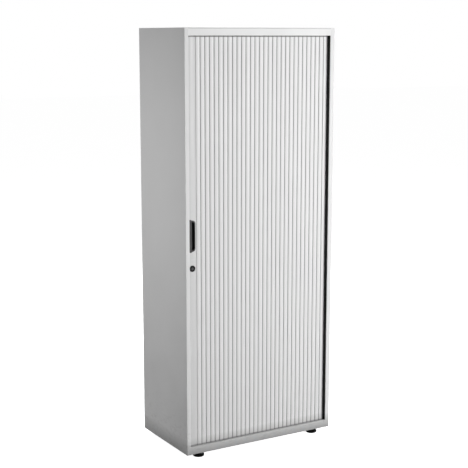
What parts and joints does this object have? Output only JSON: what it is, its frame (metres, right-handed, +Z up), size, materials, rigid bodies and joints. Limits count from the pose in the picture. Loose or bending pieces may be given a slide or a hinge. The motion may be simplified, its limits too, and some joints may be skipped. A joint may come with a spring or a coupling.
{
  "type": "roll front tool cabinet",
  "caption": "Tall steel storage cabinet with a side-rolling slat curtain front, recessed black pull, round lock, inner shelves and screw feet.",
  "frame": {"origin": "on the floor below the middle of the cabinet's outside box", "axes": "+X to the right seen from the front, +Y to the back, +Z up; the curtain front faces -Y"},
  "size_m": [0.8, 0.45, 1.98],
  "materials": {
    "body_steel": "light grey powder coat, fine texture",
    "lining_steel": "light grey powder coat",
    "shelf_steel": "light grey powder coat",
    "upright_steel": "light grey powder coat",
    "zinc": "bright zinc plate",
    "track_plastic": "moulded grey plastic",
    "slat_plastic": "satin light grey extrusion",
    "bar_aluminium": "painted to match the slats",
    "black_plastic": "fine matt black moulding",
    "lock_metal": "dark nickel plate",
    "foot_plastic": "black nylon",
    "buffer_rubber": "black rubber"
  },
  "bodies": {
    "cabinet": {"side_panel_left": "body_steel", "side_panel_right": "body_steel", "top_panel": "body_steel", "base_panel": "body_steel", "back_panel": "body_steel", "inner_floor": "lining_steel", "side_lining": "lining_steel", "corner_lining": "lining_steel", "back_lining": "lining_steel", "shelf_1": "shelf_steel", "shelf_2": "shelf_steel", "shelf_3": "shelf_steel", "shelf_4": "shelf_steel", "upright_left_front": "upright_steel", "upright_left_rear": "upright_steel", "upright_right_front": "upright_steel", "upright_right_rear": "upright_steel", "upright_screws": "zinc", "shelf_clips": "zinc", "strike_bracket": "zinc", "foot_bushes": "zinc", "track_top": "track_plastic", "track_bottom": "track_plastic", "track_end_stops": "track_plastic", "curtain_front": "slat_plastic", "curtain_corner": "slat_plastic", "curtain_tail": "slat_plastic", "reveal_trim": "black_plastic", "closing_buffers": "buffer_rubber"},
    "sliding_bar": {"leading_bar": "bar_aluminium", "sliding_shoes": "track_plastic", "handle": "black_plastic", "handle_screws": "zinc", "lock_housing": "black_plastic", "lock_nut": "zinc"},
    "lock_core": {"lock_plug": "lock_metal", "lock_claw": "zinc", "claw_screw": "zinc"},
    "glide_front_left": {"foot_front_left": "foot_plastic", "foot_stem_front_left": "zinc"},
    "glide_front_right": {"foot_front_right": "foot_plastic", "foot_stem_front_right": "zinc"},
    "glide_rear_left": {"foot_rear_left": "foot_plastic", "foot_stem_rear_left": "zinc"},
    "glide_rear_right": {"foot_rear_right": "foot_plastic", "foot_stem_rear_right": "zinc"}
  },
  "joints": [
    {"name": "curtain_slide", "type": "slide", "parent": "cabinet", "child": "sliding_bar", "axis": [1, 0, 0], "range_m": [0, 0.66302], "deforming": ["curtain_front"]},
    {"name": "lock_turn", "type": "hinge", "parent": "sliding_bar", "child": "lock_core", "pos_m": [-0.3587, -0.196, 0.9035], "axis": [0, -1, 0], "range_deg": [0, 90]},
    {"name": "glide_turn_front_left", "type": "hinge", "parent": "cabinet", "child": "glide_front_left", "pos_m": [-0.32, -0.186, 0], "axis": [0, 0, 1], "range_deg": [0, 1440]},
    {"name": "glide_turn_front_right", "type": "hinge", "parent": "cabinet", "child": "glide_front_right", "pos_m": [0.32, -0.186, 0], "axis": [0, 0, 1], "range_deg": [0, 1440]},
    {"name": "glide_turn_rear_left", "type": "hinge", "parent": "cabinet", "child": "glide_rear_left", "pos_m": [-0.32, 0.186, 0], "axis": [0, 0, 1], "range_deg": [0, 1440]},
    {"name": "glide_turn_rear_right", "type": "hinge", "parent": "cabinet", "child": "glide_rear_right", "pos_m": [0.32, 0.186, 0], "axis": [0, 0, 1], "range_deg": [0, 1440]}
  ]
}
